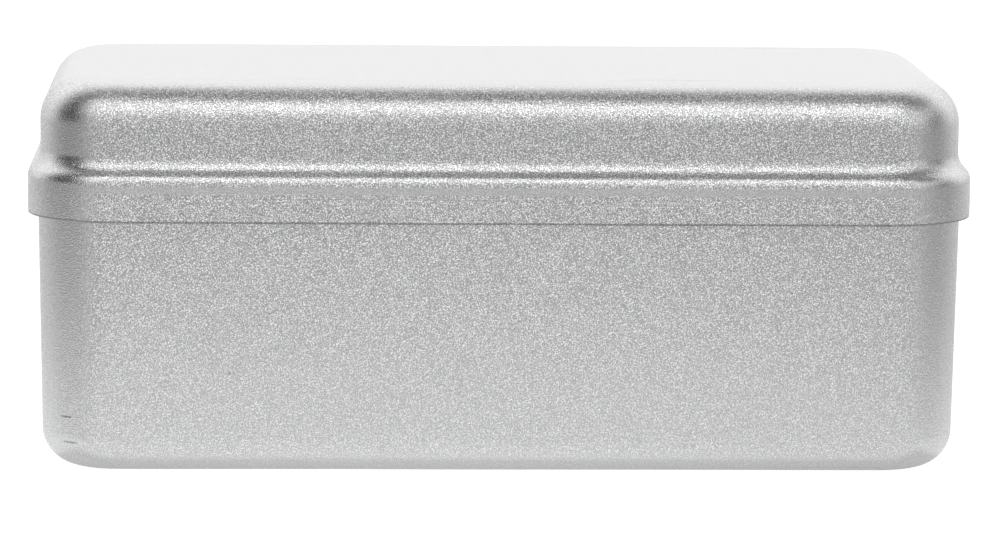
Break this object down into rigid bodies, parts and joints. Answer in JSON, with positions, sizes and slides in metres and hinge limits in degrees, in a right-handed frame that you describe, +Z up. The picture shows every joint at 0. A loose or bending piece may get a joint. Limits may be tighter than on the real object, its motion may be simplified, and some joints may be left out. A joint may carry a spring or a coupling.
{
  "type": "endodontic file box",
  "caption": "Closed aluminium box with a push-on lid and a lift-out rack of pierced silicone strips for root canal files.",
  "frame": {"origin": "middle of the tub's underside, on the surface that it stands on", "axes": "+X along the box, to the right from its front; +Y towards its back; +Z up"},
  "size_m": [0.145, 0.07, 0.06],
  "materials": {
    "anodised_shell": "bead-blasted and clear anodised, satin",
    "rack_sheet": "fine brushed",
    "gauge_steel": "brushed",
    "tray_sheet": "satin",
    "silicone_grey": "matt silicone",
    "silicone_white": "matt silicone",
    "silicone_yellow": "matt silicone",
    "silicone_red": "matt silicone",
    "silicone_blue": "matt silicone",
    "silicone_green": "matt silicone",
    "silicone_black": "matt silicone"
  },
  "bodies": {
    "tub": {"base_tub": "anodised_shell"},
    "rack": {"folded_rack": "rack_sheet", "ear_grip_left": "silicone_grey", "ear_grip_right": "silicone_grey", "foot_shoe_front_left": "silicone_grey", "foot_shoe_back_left": "silicone_grey", "foot_shoe_front_right": "silicone_grey", "foot_shoe_back_right": "silicone_grey", "file_strip_15": "silicone_white", "file_strip_20": "silicone_yellow", "file_strip_25": "silicone_red", "file_strip_30": "silicone_blue", "file_strip_35": "silicone_green", "file_strip_40": "silicone_black", "file_strip_45": "silicone_white", "file_strip_50": "silicone_yellow", "file_strip_55": "silicone_red", "file_strip_60": "silicone_blue", "file_strip_70": "silicone_green", "file_strip_80": "silicone_black"},
    "gauge": {"length_gauge": "gauge_steel"},
    "tray": {"points_tray": "tray_sheet", "tray_divider_1": "tray_sheet", "tray_divider_2": "tray_sheet"},
    "lid": {"lid": "anodised_shell"}
  },
  "joints": [
    {"name": "rack_lift", "type": "slide", "parent": "tub", "child": "rack", "axis": [0, 0, 1], "range_m": [0, 0.06]},
    {"name": "lid_lift", "type": "slide", "parent": "rack", "child": "lid", "axis": [0, 0, 1], "range_m": [0, 0.08]},
    {"name": "tray_lift", "type": "slide", "parent": "rack", "child": "tray", "axis": [0, 0, 1], "range_m": [0, 0.02]},
    {"name": "gauge_lift", "type": "slide", "parent": "rack", "child": "gauge", "axis": [0, 0, 1], "range_m": [0, 0.012]}
  ]
}
